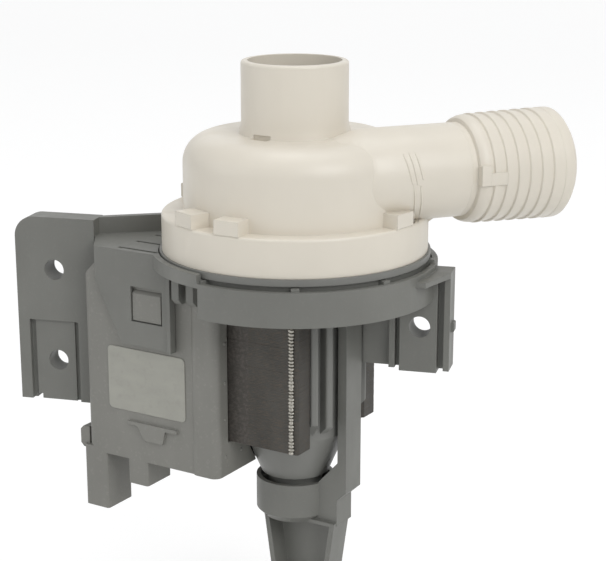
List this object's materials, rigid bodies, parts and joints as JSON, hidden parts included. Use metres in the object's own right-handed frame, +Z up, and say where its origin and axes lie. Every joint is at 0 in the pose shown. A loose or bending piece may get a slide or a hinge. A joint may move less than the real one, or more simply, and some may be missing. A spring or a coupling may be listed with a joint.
{
  "type": "drain pump",
  "caption": "Washer drain pump with a ribbed side outlet, a bayonet volute, a can motor beside its coil box and a bracket with side mounting ears and a foot.",
  "frame": {"origin": "rotor axis at the inlet's mouth", "axes": "+Z up along the rotor axis and out of the inlet, X along the mounting ears towards the outlet side, +Y to the ears' mounting face"},
  "size_m": [0.1728, 0.0881, 0.178],
  "materials": {
    "volute_plastic": "satin moulded",
    "can_plastic": "moulded",
    "bracket_plastic": "moulded",
    "cover_plastic": "moulded",
    "label_film": "printed film, bare",
    "core_steel": "varnished plates",
    "weld_steel": "weld bead",
    "bobbin_plastic": "moulded",
    "winding_copper": "enamelled copper",
    "cutout_plastic": "moulded",
    "terminal_brass": "tinned",
    "seal_rubber": "matte",
    "bearing_ceramic": "ground",
    "shaft_steel": "ground",
    "magnet_ferrite": "ground ferrite",
    "impeller_plastic": "moulded"
  },
  "bodies": {
    "pump": {"volute_housing": "volute_plastic", "volute_gasket": "seal_rubber", "rotor_can": "can_plastic", "front_bearing_cap": "can_plastic", "shaft_seal": "seal_rubber", "front_bearing_holder": "seal_rubber", "front_bearing": "bearing_ceramic", "rear_bearing_holder": "seal_rubber", "rear_bearing": "bearing_ceramic", "front_core_leg": "core_steel", "rear_core_leg": "core_steel", "core_yoke": "core_steel", "core_weld": "weld_steel", "front_bobbin": "bobbin_plastic", "rear_bobbin": "bobbin_plastic", "front_winding": "winding_copper", "rear_winding": "winding_copper", "thermal_cutout": "cutout_plastic", "coil_cover": "cover_plastic", "plug_terminal": "terminal_brass", "socket_terminal": "terminal_brass", "rating_label": "label_film", "mounting_bracket": "bracket_plastic"},
    "rotor": {"rotor_shaft": "shaft_steel", "rotor_magnet": "magnet_ferrite", "magnet_carrier": "impeller_plastic", "front_thrust_washer": "shaft_steel", "rear_thrust_washer": "shaft_steel", "drive_dog": "impeller_plastic"},
    "impeller_wheel": {"impeller": "impeller_plastic", "impeller_hub_cap": "impeller_plastic"}
  },
  "joints": [
    {"name": "rotor_spin", "type": "hinge", "parent": "pump", "child": "rotor", "pos_m": [0, 0, -0.09], "axis": [0, 0, 1], "continuous": true},
    {"name": "clutch_play", "type": "hinge", "parent": "rotor", "child": "impeller_wheel", "pos_m": [0, 0, -0.042], "axis": [0, 0, 1], "range_deg": [-130, 130]}
  ]
}
